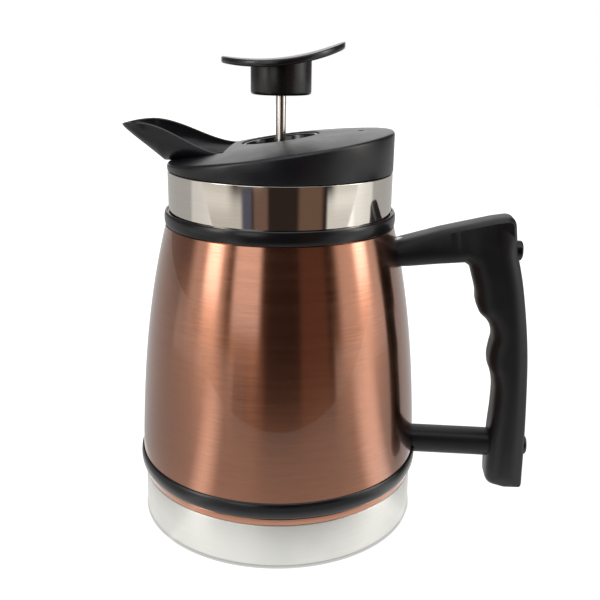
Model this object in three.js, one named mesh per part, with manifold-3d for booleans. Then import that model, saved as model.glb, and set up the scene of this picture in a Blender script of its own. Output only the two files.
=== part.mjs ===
// Insulated french press: a double-walled steel jug with a side handle, a lift-off pouring lid
// and a plunger that carries a mesh filter. Millimetres, +Z up, jug axis on Z, table at Z = 0.
// The handle points along +X and the spout along -X.
import * as THREE from 'three';
import { mergeVertices } from 'three/addons/utils/BufferGeometryUtils.js';
import Module from 'manifold-3d';

const wasm = await Module();
wasm.setup();

// ---- driving dimensions -------------------------------------------------------------------
const ROUND = 36;              // segments round the jug
const SMALL_ROUND = 16;        // segments round a screw, stud or rod
const GAP = 0.3;               // clearance between pieces that touch
const SHEET = 1.2;             // steel wall of the outer skin

const BASE_RADIUS = 66;        // jug at the table
const BAND_TOP = 21;           // bare steel band round the foot
const BAND_TOP_RADIUS = 65.7;
const FLOOR_LOW = 3;           // underside of the jug, recessed for the pad
const FLOOR_HIGH = 4.4;
const SHELL_FOOT = 66.8;       // skin radius where its curve starts
const CURVE_START = 30;
const CURVE_HEIGHT = 112;
const CURVE_TAPER = 5.04;      // straight part of the taper over the curve
const CURVE_BULGE = 9.46;      // extra inward sweep towards the neck
const CURVE_POWER = 2.6;
const LOWER_RING = { low: 24.6, high: 32.6, seat: 65.2, crest: 67.8 };
const UPPER_RING = { low: 141.0, high: 147.6, seat: 51.2, crest: 53.0 };
const SHELL_TOP = 147.3;
const NECK_RADIUS = 51;
const NECK_TOP = 165.5;
const LINER_RADIUS = 46;       // inside of the brewing chamber
const LINER_WALL = 0.9;
const LINER_FLOOR = 16;
const LINER_CORNER = 7;

const HANDLE_HALF = 11.5;      // half width of the grip
const ARM_HALF = 9.5;          // half width of the upper arm
const HANDLE_EDGE = 3;         // rounding of the grip's and the arm's edges
const ARM_EDGE = 2.5;
const LOWER_ARM = { half: 6.6, low: 28.3, high: 39.5, from: 60, to: 110 };
const UPPER_FIX = { z: 131, studFrom: 50, studTo: 66, backFace: 109.8, studRadius: 4.5 };
const LOWER_FIX = { z: 33, studFrom: 60, studTo: 79, backFace: 120.5, studRadius: 4 };
const SCREW_RADIUS = 2;
const HEAD_RADIUS = 3.8;
const PLUG_RADIUS = 4.6;

const LID_LOW = 165.8;         // lid skirt stands on the jug's rim
const LID_RADIUS = 51.1;
const LID_WALL = 2.4;
const LID_TOP_WALL = 2;
const LID_TILT = 8.5;          // degrees, the lid rises towards the handle
const LID_MID = 176.06;        // height of the rim's plane on the axis
const LID_CROWN = 4;
const WELL_RADIUS = 17.5;      // round opening that takes the knob's collar
const WELL_FLOOR = 166.5;
const VENT = { x: 36, y: 0, radius: 1.5 };
const PLUG_BODY = { low: 152, radius: 44.6, inner: 41, flange: 48.2, flangeLow: 165.9, high: 166.6 };
const GASKET = { low: 155, high: 160, seat: 42.9, lip: 45.7 };
const POUR_SLOT = { from: -38, to: -24, half: 12 };

const SPOUT = { inner: -22, tip: -72, nose: 13, noseHalf: 14.2, innerHalf: 25, keelX: -52.5 };
const SPOUT_KEEL_LOW = 168.4;
const SPOUT_RIM_LOW = 174.7;
const SPOUT_RIM_HIGH = 186;
const SPOUT_TIP_Z = 184.6;
const SPOUT_WALL = 2.2;

const ROD_RADIUS = 2.25;
const KNOB = { radius: 27.1, centre: 0.85, thick: 2.8, bend: 98, lowX: -11, topLow: 213.3, turned: 7 };
const COLLAR = { radius: 13.5, low: 198.4 };
const FILTER_Z = 63;           // underside of the filter stack with the knob up as shown
const FILTER_RADIUS = 43.4;
const WIPER = { low: 65.2, high: 71.4, seat: 42.8, lip: 45.7 };

// ---- materials ----------------------------------------------------------------------------
const finish = (color, roughness, metalness) => ({ color, roughness, metalness });
const COPPER_LACQUER = finish(0x9a5f48, 0.35, 0.8);
const BRUSHED_STEEL = finish(0xb9b8b5, 0.45, 1);
const POLISHED_STEEL = finish(0xd6d4d0, 0.12, 1);
const BLACK_RUBBER = finish(0x141414, 0.6, 0);
const BLACK_PLASTIC = finish(0x1d1d20, 0.5, 0);
const GLOSS_BLACK = finish(0x0b0b0c, 0.15, 0);
const CLEAR_SILICONE = finish(0x3b3b3d, 0.55, 0);
const BRASS = finish(0xb08d4a, 0.35, 1);

// ---- geometry helpers ---------------------------------------------------------------------
// A profile is a list of [radius, height] points, anticlockwise with the radius to the right.
function turned(profile, segments = ROUND) {
  const points = profile.map(([r, z]) => new THREE.Vector2(r, z));
  const closed = profile[0][0] > 0 ? [...points, points[0].clone()] : points;
  return new THREE.LatheGeometry(closed, segments).rotateX(Math.PI / 2);
}

// A shape drawn in the X-Z plane, given a width along Y and rounded edges.
function slab(shape, halfWidth, edge, edgeSteps = 2, curveSegments = 6) {
  const depth = 2 * (halfWidth - edge);
  const options = { depth, curveSegments, bevelEnabled: edge > 0, bevelThickness: edge,
    bevelSize: edge, bevelOffset: -edge, bevelSegments: edgeSteps };
  const geometry = new THREE.ExtrudeGeometry(shape, options);
  return geometry.translate(0, 0, -depth / 2).rotateX(Math.PI / 2);
}

function roundBar(radius, from, to, y, z, segments = SMALL_ROUND) {
  const geometry = new THREE.CylinderGeometry(radius, radius, to - from, segments);
  return geometry.rotateZ(-Math.PI / 2).translate((from + to) / 2, y, z);
}

function block(low, high) {
  const size = high.map((value, i) => value - low[i]);
  const middle = high.map((value, i) => (value + low[i]) / 2);
  return new THREE.BoxGeometry(...size).translate(...middle);
}

function solidOf(geometry) {
  const bare = geometry.clone();
  bare.deleteAttribute('normal');
  bare.deleteAttribute('uv');
  const merged = mergeVertices(bare, 1e-3);
  const corners = merged.index.array;
  const triVerts = [];
  for (let i = 0; i < corners.length; i += 3) {
    const [a, b, c] = corners.slice(i, i + 3);
    if (a !== b && b !== c && c !== a) triVerts.push(a, b, c);
  }
  const vertProperties = Float32Array.from(merged.attributes.position.array);
  const mesh = new wasm.Mesh({ numProp: 3, vertProperties, triVerts: Uint32Array.from(triVerts) });
  return new wasm.Manifold(mesh);
}

function geometryOf(solid) {
  const { vertProperties, triVerts } = solid.getMesh();
  const geometry = new THREE.BufferGeometry();
  geometry.setAttribute('position', new THREE.BufferAttribute(vertProperties, 3));
  geometry.setIndex(new THREE.BufferAttribute(triVerts, 1));
  return geometry;
}

function cut(geometry, ...tools) {
  let solid = solidOf(geometry);
  for (const tool of tools) solid = solid.subtract(solidOf(tool));
  return geometryOf(solid);
}

// A trough lofted from open curves: each station gives the outer and the inner curve.
function trough(stations) {
  const width = stations[0].outer.length;
  const positions = stations.flatMap(({ outer, inner }) => [...outer, ...inner]).flat();
  const outerAt = (s, j) => s * 2 * width + j;
  const innerAt = (s, j) => s * 2 * width + width + j;
  const faces = [];
  const quad = (a, b, c, d) => faces.push(a, b, c, a, c, d);
  const last = stations.length - 1;
  for (let j = 0; j < width - 1; j += 1) {
    for (let s = 0; s < last; s += 1) {
      quad(outerAt(s, j), outerAt(s, j + 1), outerAt(s + 1, j + 1), outerAt(s + 1, j));
      quad(innerAt(s, j), innerAt(s + 1, j), innerAt(s + 1, j + 1), innerAt(s, j + 1));
    }
    quad(outerAt(0, j), innerAt(0, j), innerAt(0, j + 1), outerAt(0, j + 1));
    quad(outerAt(last, j), outerAt(last, j + 1), innerAt(last, j + 1), innerAt(last, j));
  }
  for (let s = 0; s < last; s += 1) {
    quad(outerAt(s, 0), outerAt(s + 1, 0), innerAt(s + 1, 0), innerAt(s, 0));
    const j = width - 1;
    quad(outerAt(s, j), innerAt(s, j), innerAt(s + 1, j), outerAt(s + 1, j));
  }
  const geometry = new THREE.BufferGeometry();
  geometry.setAttribute('position', new THREE.Float32BufferAttribute(positions, 3));
  geometry.setIndex(faces);
  return geometry;
}

// ---- jug ----------------------------------------------------------------------------------
function skinRadius(z) {
  const t = Math.max(0, z - CURVE_START) / CURVE_HEIGHT;
  return SHELL_FOOT - CURVE_TAPER * t - CURVE_BULGE * t ** CURVE_POWER;
}

function skinProfile(offset, steps = 7) {
  const points = [];
  for (let i = 0; i <= steps; i += 1) {
    const z = LOWER_RING.high + (UPPER_RING.low - LOWER_RING.high) * i / steps;
    points.push([skinRadius(z) + offset, z]);
  }
  return points;
}

function outerShell() {
  const foot = BAND_TOP + GAP;
  const outside = [
    [BAND_TOP_RADIUS + 0.1, foot],
    [BAND_TOP_RADIUS + 0.2, LOWER_RING.low - GAP],
    [LOWER_RING.seat, LOWER_RING.low - GAP],
    [LOWER_RING.seat, LOWER_RING.high],
    ...skinProfile(0),
    [UPPER_RING.seat, UPPER_RING.low],
    [UPPER_RING.seat, SHELL_TOP],
  ];
  const inside = skinProfile(-SHEET, 4).reverse();
  const innerTop = [[UPPER_RING.seat - SHEET, SHELL_TOP], [UPPER_RING.seat - SHEET, UPPER_RING.low]];
  const innerFoot = LOWER_RING.seat - SHEET;
  return turned([...outside, ...innerTop, ...inside.slice(1), [innerFoot, foot]]);
}

function baseCup() {
  return turned([
    [0, FLOOR_LOW], [61.5, FLOOR_LOW], [63.4, 0.4], [65, 0.4], [BASE_RADIUS, 1.4],
    [BAND_TOP_RADIUS, BAND_TOP], [BAND_TOP_RADIUS - SHEET, BAND_TOP],
    [BAND_TOP_RADIUS - SHEET, FLOOR_HIGH], [0, FLOOR_HIGH],
  ]);
}

function basePad() {
  const top = FLOOR_LOW - GAP;
  return turned([[0, 0], [59.4, 0], [60.4, 1], [60.4, top], [0, top]]);
}

function neckCollar() {
  const inner = LINER_RADIUS + LINER_WALL + GAP;
  const wall = NECK_RADIUS - 1;
  return turned([
    [NECK_RADIUS, SHELL_TOP + GAP], [NECK_RADIUS, NECK_TOP - 0.6], [NECK_RADIUS - 0.6, NECK_TOP],
    [inner, NECK_TOP], [inner, NECK_TOP - 1.2], [wall, NECK_TOP - 1.2], [wall, SHELL_TOP + GAP],
  ]);
}

function innerLiner() {
  const corner = (radius, step) => {
    const angle = -Math.PI / 2 + (Math.PI / 2) * step / 3;
    const middle = LINER_RADIUS - LINER_CORNER;
    return [middle + radius * Math.cos(angle), LINER_FLOOR + LINER_CORNER + radius * Math.sin(angle)];
  };
  const steps = [0, 1, 2, 3];
  const outside = steps.map((step) => corner(LINER_CORNER + LINER_WALL, step));
  const inside = steps.map((step) => corner(LINER_CORNER, step)).reverse();
  return turned([
    [0, LINER_FLOOR - LINER_WALL], ...outside, [LINER_RADIUS + LINER_WALL, NECK_TOP],
    [LINER_RADIUS, NECK_TOP], ...inside, [0, LINER_FLOOR],
  ]);
}

function getterCup() {
  const low = FLOOR_HIGH + GAP;
  return turned([[0, low], [8, low], [8, low + 0.6], [6.2, low + 3], [0, low + 3]], SMALL_ROUND);
}

function bumperRing({ low, high, seat, crest }) {
  const inner = seat + GAP;
  const bottom = low + GAP;
  const middle = (low + high) / 2;
  const shoulder = inner + (crest - inner) * 0.72;
  return turned([
    [inner, bottom], [shoulder, bottom], [crest, middle - 1], [crest, middle + 1],
    [shoulder, high], [inner, high],
  ]);
}

function lowerBumper() {
  const notch = LOWER_FIX.studRadius + GAP;
  return cut(bumperRing(LOWER_RING), roundBar(notch, LOWER_FIX.studFrom, LOWER_FIX.studTo, 0, LOWER_FIX.z));
}

// Everything inside the jug's outline plus a clearance, used to cope the handle and its studs.
function jugEnvelope(withRings) {
  const foot = GAP + (withRings ? LOWER_RING.crest : LOWER_RING.seat);
  const step = LOWER_RING.high + (withRings ? GAP : -GAP);
  return turned([
    [0, 0], [foot, 0], [foot, step], [skinRadius(step) + GAP, step], ...skinProfile(GAP).slice(1),
    [0, UPPER_RING.low],
  ]);
}

// ---- handle -------------------------------------------------------------------------------
function gripShape() {
  const shape = new THREE.Shape();
  const points = (list) => list.map(([x, z]) => new THREE.Vector2(x, z));
  shape.moveTo(103.4, 21);
  shape.quadraticCurveTo(103.4, 16.5, 107, 14.6);
  shape.quadraticCurveTo(112, 12.2, 117, 12.6);
  shape.quadraticCurveTo(120.9, 12.9, 120.9, 17);
  shape.splineThru(points([[120.2, 41], [118.6, 68], [114.7, 105], [110.2, 128.5]]));
  shape.lineTo(107.9, 139);
  shape.quadraticCurveTo(106.4, 147, 98, 145.6);
  shape.lineTo(86, 143);
  shape.lineTo(84.6, 125.9);
  shape.splineThru(points([[88.3, 120.6], [91.8, 110.5], [95.6, 99.5], [99.9, 89], [99.3, 80.5],
    [102.6, 66], [103.6, 44]]));
  return shape;
}

function upperArmShape() {
  const shape = new THREE.Shape();
  shape.moveTo(48, 122.7);
  shape.lineTo(86, 126.2);
  shape.lineTo(97, 131);
  shape.lineTo(101, 144);
  shape.lineTo(98, 145.2);
  shape.lineTo(48, 134.8);
  return shape;
}

function lowerArm() {
  const { half, low, high, from, to } = LOWER_ARM;
  const radius = (high - low) / 2;
  const shape = new THREE.Shape();
  const side = half - radius + 3;
  shape.absarc(side - 2, (low + high) / 2, radius, -Math.PI / 2, Math.PI / 2);
  shape.absarc(2 - side, (low + high) / 2, radius, Math.PI / 2, Math.PI * 1.5);
  const geometry = new THREE.ExtrudeGeometry(shape, { depth: to - from, bevelEnabled: false, curveSegments: 8 });
  return geometry.rotateX(Math.PI / 2).rotateZ(Math.PI / 2).translate(from, 0, 0);
}

function handle() {
  let solid = solidOf(slab(gripShape(), HANDLE_HALF, HANDLE_EDGE, 2, 2));
  solid = solid.add(solidOf(slab(upperArmShape(), ARM_HALF, ARM_EDGE)));
  solid = solid.add(solidOf(lowerArm()));
  solid = solid.subtract(solidOf(jugEnvelope(true)));
  for (const fix of [UPPER_FIX, LOWER_FIX]) {
    const stud = fix.studRadius + GAP;
    solid = solid.subtract(solidOf(roundBar(stud, fix.studFrom, fix.studTo + GAP, 0, fix.z)));
    solid = solid.subtract(solidOf(roundBar(SCREW_RADIUS + GAP, fix.studTo, fix.backFace, 0, fix.z)));
    solid = solid.subtract(solidOf(roundBar(PLUG_RADIUS + GAP, fix.backFace - 8, fix.backFace + 5, 0, fix.z)));
  }
  return geometryOf(solid);
}

function weldStud(fix) {
  const bore = roundBar(SCREW_RADIUS + 0.1, fix.studTo - 9, fix.studTo + 1, 0, fix.z);
  const bar = roundBar(fix.studRadius, fix.studFrom, fix.studTo, 0, fix.z);
  return cut(bar, jugEnvelope(false), bore);
}

function handleScrew(fix) {
  const seat = fix.backFace - 8 + 1.4;
  const shank = solidOf(roundBar(SCREW_RADIUS, fix.studTo - 7, seat + 1, 0, fix.z));
  const head = solidOf(roundBar(HEAD_RADIUS, seat, seat + 2.4, 0, fix.z));
  const socket = solidOf(roundBar(1.6, seat + 1.1, seat + 3, 0, fix.z, 6));
  return geometryOf(shank.add(head).subtract(socket));
}

function screwWasher(fix) {
  const from = fix.backFace - 8 + 0.2;
  const washer = roundBar(PLUG_RADIUS - 0.2, from, from + 0.9, 0, fix.z);
  return cut(washer, roundBar(SCREW_RADIUS + GAP, from - 1, from + 2, 0, fix.z));
}

function screwPlug(fix) {
  const from = fix.backFace - 8 + 4.2;
  const stem = solidOf(roundBar(PLUG_RADIUS, from, fix.backFace + 0.9, 0, fix.z));
  const cap = solidOf(roundBar(PLUG_RADIUS - 0.7, from + 1, fix.backFace + 1.8, 0, fix.z));
  return geometryOf(stem.add(cap));
}

// ---- lid ----------------------------------------------------------------------------------
// Everything below the lid's crowned, tilted top, lowered by an offset.
function underCrown(offset) {
  const reach = 62;
  const sphere = (LID_RADIUS ** 2 + LID_CROWN ** 2) / (2 * LID_CROWN);
  const steps = 6;
  const arc = [];
  for (let i = 0; i < steps; i += 1) {
    const r = reach * (1 - i / steps);
    arc.push([r, LID_CROWN - offset - sphere + Math.sqrt(sphere ** 2 - r ** 2)]);
  }
  const profile = [[0, -60], [reach, -60], ...arc, [0, LID_CROWN - offset]];
  const tilt = THREE.MathUtils.degToRad(-LID_TILT);
  return turned(profile).rotateY(tilt).translate(0, 0, LID_MID);
}

function crownedDrum(radius, low, offset) {
  const drum = solidOf(turned([[0, low], [radius, low], [radius, 200], [0, 200]]));
  return drum.intersect(solidOf(underCrown(offset)));
}

function lidCover() {
  const below = LID_LOW - 1;
  let solid = crownedDrum(LID_RADIUS, LID_LOW, 0);
  solid = solid.subtract(crownedDrum(LID_RADIUS - LID_WALL, below, LID_TOP_WALL));
  const well = turned([[0, below], [WELL_RADIUS, below], [WELL_RADIUS, 200], [0, 200]]);
  solid = solid.subtract(solidOf(well));
  solid = solid.subtract(solidOf(spoutSpace(GAP)));
  const vent = new THREE.CylinderGeometry(VENT.radius, VENT.radius, 30, 12);
  solid = solid.subtract(solidOf(vent.rotateX(Math.PI / 2).translate(VENT.x, VENT.y, 185)));
  return geometryOf(solid);
}

function lidPlug() {
  const { low, radius, inner, flange, flangeLow, high } = PLUG_BODY;
  const hole = 5.4;
  const boss = 9;
  const profile = [
    [hole, low], [radius - 1.5, low], [radius, low + 1.5], [radius, GASKET.low],
    [GASKET.seat, GASKET.low], [GASKET.seat, GASKET.high], [radius, GASKET.high],
    [radius, flangeLow], [flange, flangeLow], [flange, high], [inner, high],
    [inner, low + 2.5], [boss, low + 2.5], [boss, WELL_FLOOR - GAP], [hole, WELL_FLOOR - GAP],
  ];
  const { from, to, half } = POUR_SLOT;
  return cut(turned(profile), block([from, -half, low - 1], [to, half, low + 3]));
}

function pourStrainer() {
  const { from, to, half } = POUR_SLOT;
  const low = PLUG_BODY.low + 0.4;
  const plate = block([from + GAP, GAP - half, low], [to - GAP, half - GAP, low + 1.2]);
  const slots = [];
  const count = 6;
  const pitch = (2 * half - 2) / count;
  for (let i = 0; i < count; i += 1) {
    const y = -half + 1 + pitch * (i + 0.5);
    slots.push(block([from + 2, y - 1, low - 1], [to - 2, y + 1, low + 2]));
  }
  return cut(plate, ...slots);
}

function lidGasket() {
  const { low, high, seat, lip } = GASKET;
  const inner = seat + GAP;
  const waist = lip - 0.9;
  return turned([
    [inner, low + GAP], [waist, low + GAP], [lip, low + 1.3], [waist, (low + high) / 2],
    [lip, high - 1.3], [waist, high - GAP], [inner, high - GAP],
  ]);
}

function rodWell() {
  const outer = WELL_RADIUS - GAP;
  const inner = outer - 1.5;
  const cup = solidOf(turned([
    [5.4, WELL_FLOOR], [outer - 2, WELL_FLOOR], [outer, WELL_FLOOR + 2], [outer, 200],
    [inner, 200], [inner, WELL_FLOOR + 3], [inner - 2, WELL_FLOOR + 1.6], [5.4, WELL_FLOOR + 1.6],
  ]));
  return geometryOf(cup.intersect(solidOf(underCrown(GAP))));
}

function rodBushing() {
  const bore = ROD_RADIUS + 0.1;
  const low = PLUG_BODY.low - 0.8;
  return turned([
    [bore, low], [7, low], [7, low + 0.5], [5.1, low + 0.5], [5.1, WELL_FLOOR + 2.6],
    [4, WELL_FLOOR + 3.4], [bore, WELL_FLOOR + 3.4],
  ], 24);
}

// ---- spout --------------------------------------------------------------------------------
function spoutHalfWidth(x) {
  const noseStart = SPOUT.tip + SPOUT.nose;
  if (x < noseStart) {
    const reach = (noseStart - x) / SPOUT.nose;
    return SPOUT.noseHalf * Math.sqrt(Math.max(0.02, 1 - reach ** 2));
  }
  const t = (x - noseStart) / (SPOUT.inner - noseStart);
  return SPOUT.noseHalf + (SPOUT.innerHalf - SPOUT.noseHalf) * t ** 1.2;
}

function spoutRim(x) {
  const crest = SPOUT.tip + 11;
  if (x < crest) return SPOUT_RIM_HIGH - (SPOUT_RIM_HIGH - SPOUT_TIP_Z) * ((crest - x) / 11) ** 2;
  const t = (SPOUT.inner - x) / (SPOUT.inner - crest);
  return SPOUT_RIM_LOW + (SPOUT_RIM_HIGH - SPOUT_RIM_LOW) * THREE.MathUtils.smoothstep(t, 0, 1);
}

function spoutKeel(x) {
  const t = THREE.MathUtils.clamp((SPOUT.keelX - x) / (SPOUT.keelX - SPOUT.tip), 0, 1);
  return SPOUT_KEEL_LOW + (SPOUT_TIP_Z - 0.6 - SPOUT_KEEL_LOW) * t;
}

function spoutCurve(x, inset, lift, raise = 0) {
  const half = Math.max(0.4, spoutHalfWidth(x) - inset);
  const rim = spoutRim(x);
  const keel = Math.min(spoutKeel(x) + lift, rim - 0.2);
  const steps = 10;
  const points = [];
  for (let j = 0; j <= steps; j += 1) {
    const angle = Math.PI * (j / steps - 0.5);
    const height = rim - (rim - keel) * Math.cos(angle) ** 0.8;
    points.push([x, half * Math.sin(angle), j === 0 || j === steps ? rim + raise : height]);
  }
  return points;
}

const SPOUT_STATIONS = [-72, -71, -69.5, -67, -63, -58, -52.5, -46, -40, -34, -28, -22.4];

function spout() {
  const stations = SPOUT_STATIONS.map((x) => ({
    outer: spoutCurve(x, 0, 0),
    inner: spoutCurve(x + (x < -71 ? 1.2 : 0), SPOUT_WALL, SPOUT_WALL),
  }));
  const { from, to, half } = POUR_SLOT;
  return cut(trough(stations), block([from, -half, SPOUT_KEEL_LOW - 1], [to, half, SPOUT_KEEL_LOW + 2.6]));
}

// The spout's outside grown by a clearance and filled up to above the lid, used to cut the lid.
function spoutSpace(clearance) {
  const stations = SPOUT_STATIONS.map((x) => {
    const shifted = x > SPOUT.inner - 1 ? SPOUT.inner : x;
    const outer = spoutCurve(shifted, -clearance, -clearance);
    return { outer, inner: outer.map(([px, py]) => [px, py, 200]) };
  });
  return trough(stations);
}

// ---- plunger ------------------------------------------------------------------------------
function knobPlate() {
  const { radius, centre, thick, bend, lowX, topLow } = KNOB;
  const plate = new THREE.Shape();
  const axisZ = topLow + bend;
  const reach = (radius + 6) / bend;
  const down = -Math.PI / 2;
  plate.absarc(lowX, axisZ, bend + thick, down - reach, down + reach + 0.14, false);
  plate.absarc(lowX, axisZ, bend, down + reach + 0.14, down - reach, true);
  const bent = slab(plate, radius + 4, 0, 1, 12);
  const disc = new THREE.CylinderGeometry(radius, radius, 60, 36).rotateX(Math.PI / 2);
  const plateSolid = solidOf(bent).intersect(solidOf(disc.translate(centre, 0, topLow)));
  return geometryOf(plateSolid).rotateZ(THREE.MathUtils.degToRad(KNOB.turned));
}

function knobCollar() {
  const { radius, low } = COLLAR;
  const top = KNOB.topLow + 12;
  const body = turned([
    [4, low], [radius - 1.5, low], [radius - 0.4, low + 0.4], [radius, low + 1.5], [radius, top], [0, top],
    [0, low + 9], [4, low + 9],
  ], 32);
  const roller = new THREE.CylinderGeometry(KNOB.bend + KNOB.thick + GAP, KNOB.bend + KNOB.thick + GAP, 60, 120);
  roller.translate(KNOB.lowX, 0, KNOB.topLow + KNOB.bend);
  return cut(body, roller.rotateZ(THREE.MathUtils.degToRad(KNOB.turned)));
}

function knobInsert() {
  const low = COLLAR.low + 0.4;
  const bore = ROD_RADIUS + 0.1;
  return turned([[bore, low], [3.7, low], [3.7, low + 8], [bore, low + 8]], SMALL_ROUND);
}

function plungerRod() {
  const low = FILTER_Z - 3;
  const high = COLLAR.low + 8.6;
  return turned([
    [0, low], [ROD_RADIUS - 0.4, low], [ROD_RADIUS, low + 0.4], [ROD_RADIUS, high - 0.4],
    [ROD_RADIUS - 0.4, high], [0, high],
  ], SMALL_ROUND);
}

function ringPlate(outer, bore, low, high, segments = ROUND) {
  return turned([[bore, low], [outer, low], [outer, high], [bore, high]], segments);
}

function holesInRing(count, radius, at, low, high, phase = 0) {
  const holes = [];
  for (let i = 0; i < count; i += 1) {
    const angle = phase + 2 * Math.PI * i / count;
    const hole = new THREE.CylinderGeometry(radius, radius, high - low, 8).rotateX(Math.PI / 2);
    holes.push(hole.translate(at * Math.cos(angle), at * Math.sin(angle), (low + high) / 2));
  }
  return holes;
}

const ROD_HOLE = ROD_RADIUS + GAP;

function filterSupport() {
  const plate = ringPlate(FILTER_RADIUS, ROD_HOLE, FILTER_Z, FILTER_Z + 1);
  const low = FILTER_Z - 1;
  const high = FILTER_Z + 2;
  const rings = [holesInRing(8, 3.6, 20, low, high), holesInRing(12, 3.6, 33, low, high)];
  return cut(plate, ...rings.flat());
}

function filterMesh() {
  const low = FILTER_Z + 1.3;
  return turned([
    [ROD_HOLE, low], [FILTER_RADIUS, low], [FILTER_RADIUS + 0.3, low + 0.5], [FILTER_RADIUS + 0.3, low + 0.6],
    [ROD_HOLE, low + 0.6],
  ]);
}

function pressDisc() {
  const low = FILTER_Z + 4;
  const plate = ringPlate(WIPER.seat - GAP, ROD_HOLE, low, low + 1.2);
  return cut(plate, ...holesInRing(6, 5, 28, low - 1, low + 3));
}

function filterSpacer() {
  return ringPlate(9, ROD_HOLE, FILTER_Z + 2.2, FILTER_Z + 3.7, 24);
}

function wiperSeal() {
  const { low, high, seat, lip } = WIPER;
  const inner = seat - 3;
  const waist = lip - 1.1;
  const disc = FILTER_Z + 4;
  return turned([
    [inner, low], [waist, low], [lip, low + 1.2], [waist, (low + high) / 2], [lip, high - 1.2],
    [waist, high], [inner, high], [inner, disc + 1.5], [seat, disc + 1.5], [seat, disc - GAP],
    [inner, disc - GAP],
  ]);
}

function hexNut(across, low, high) {
  const flat = Math.cos(Math.PI / 6);
  return ringPlate(across / 2 / flat, ROD_HOLE / flat, low, high, 6);
}

function hubNut() {
  const low = FILTER_Z - 4;
  return turned([
    [0, low], [5, low], [5, FILTER_Z - 1.6], [9, FILTER_Z - 1.2], [9, FILTER_Z - GAP],
    [ROD_HOLE, FILTER_Z - GAP], [ROD_HOLE, FILTER_Z - 3.3], [0, FILTER_Z - 3.3],
  ], 24);
}

// ---- assembly -----------------------------------------------------------------------------
const press = new THREE.Group();

function place(name, geometry, look) {
  const mesh = new THREE.Mesh(geometry, new THREE.MeshStandardMaterial(look));
  mesh.name = name;
  press.add(mesh);
}

place('base_cup', baseCup(), BRUSHED_STEEL);
place('base_pad', basePad(), BLACK_RUBBER);
place('getter_cup', getterCup(), BRUSHED_STEEL);
place('outer_shell', outerShell(), COPPER_LACQUER);
place('neck_collar', neckCollar(), POLISHED_STEEL);
place('inner_liner', innerLiner(), BRUSHED_STEEL);
place('lower_bumper', lowerBumper(), BLACK_RUBBER);
place('upper_bumper', bumperRing(UPPER_RING), BLACK_RUBBER);
place('handle', handle(), BLACK_PLASTIC);
for (const [where, fix] of [['upper', UPPER_FIX], ['lower', LOWER_FIX]]) {
  place(`weld_stud_${where}`, weldStud(fix), BRUSHED_STEEL);
  place(`handle_screw_${where}`, handleScrew(fix), BRUSHED_STEEL);
  place(`screw_washer_${where}`, screwWasher(fix), BRUSHED_STEEL);
  place(`screw_plug_${where}`, screwPlug(fix), BLACK_RUBBER);
}
place('lid_gasket', lidGasket(), CLEAR_SILICONE);
place('lid_cover', lidCover(), BLACK_PLASTIC);
place('lid_plug', lidPlug(), BLACK_PLASTIC);
place('pour_strainer', pourStrainer(), BLACK_PLASTIC);
place('rod_well', rodWell(), GLOSS_BLACK);
place('rod_bushing', rodBushing(), GLOSS_BLACK);
place('spout', spout(), BLACK_PLASTIC);
place('wiper_seal', wiperSeal(), CLEAR_SILICONE);
place('knob_plate', knobPlate(), BLACK_PLASTIC);
place('knob_collar', knobCollar(), GLOSS_BLACK);
place('knob_insert', knobInsert(), BRASS);
place('plunger_rod', plungerRod(), POLISHED_STEEL);
place('press_nut', hexNut(8, FILTER_Z + 5.5, FILTER_Z + 9), BRUSHED_STEEL);
place('press_disc', pressDisc(), BRUSHED_STEEL);
place('filter_spacer', filterSpacer(), BRUSHED_STEEL);
place('filter_mesh', filterMesh(), BRUSHED_STEEL);
place('filter_support', filterSupport(), BRUSHED_STEEL);
place('hub_nut', hubNut(), BRUSHED_STEEL);

export default press;
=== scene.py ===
import math
from functools import partial

import bmesh
import bpy
from mathutils import Matrix, Vector
from mathutils.geometry import delaunay_2d_cdt
from mathutils.kdtree import KDTree


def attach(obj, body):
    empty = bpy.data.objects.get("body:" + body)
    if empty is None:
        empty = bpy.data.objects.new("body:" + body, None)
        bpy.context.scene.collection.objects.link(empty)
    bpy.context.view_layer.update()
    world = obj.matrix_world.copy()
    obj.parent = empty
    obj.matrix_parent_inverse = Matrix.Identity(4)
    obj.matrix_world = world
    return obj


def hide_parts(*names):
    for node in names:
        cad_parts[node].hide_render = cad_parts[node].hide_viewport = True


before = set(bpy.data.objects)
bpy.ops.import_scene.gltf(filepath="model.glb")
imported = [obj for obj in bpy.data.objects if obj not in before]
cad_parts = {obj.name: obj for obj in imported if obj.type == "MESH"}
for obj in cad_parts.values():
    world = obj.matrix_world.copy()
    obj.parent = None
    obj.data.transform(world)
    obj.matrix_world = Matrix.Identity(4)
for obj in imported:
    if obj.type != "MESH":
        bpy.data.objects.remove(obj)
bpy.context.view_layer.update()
mm = 0.001
scene = bpy.context.scene


def roundCorners(points, steps=4):
    # points are (r, z) or (r, z, corner radius); corners with a radius become short arcs
    out = []
    count = len(points)
    for i, point in enumerate(points):
        corner = Vector(point[:2])
        radius = point[2] if len(point) > 2 else 0
        if radius <= 0:
            out.append(corner)
            continue
        before = Vector(points[i - 1][:2]) - corner
        after = Vector(points[(i + 1) % count][:2]) - corner
        half = before.angle(after) / 2
        reach = min(radius / math.tan(half), before.length * 0.49, after.length * 0.49)
        start = corner + before.normalized() * reach
        end = corner + after.normalized() * reach
        for k in range(steps + 1):
            t = k / steps
            out.append(start * (1 - t) ** 2 + corner * 2 * t * (1 - t) + end * t ** 2)
    return out


def meshPiece(name, verts, faces, material, sharpDegrees=35):
    mesh = bpy.data.meshes.new(name)
    mesh.from_pydata([tuple(v) for v in verts], [], faces)
    mesh.validate()
    piece = bpy.data.objects.new(name, mesh)
    scene.collection.objects.link(piece)
    return dress(piece, material, sharpDegrees)


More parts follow.
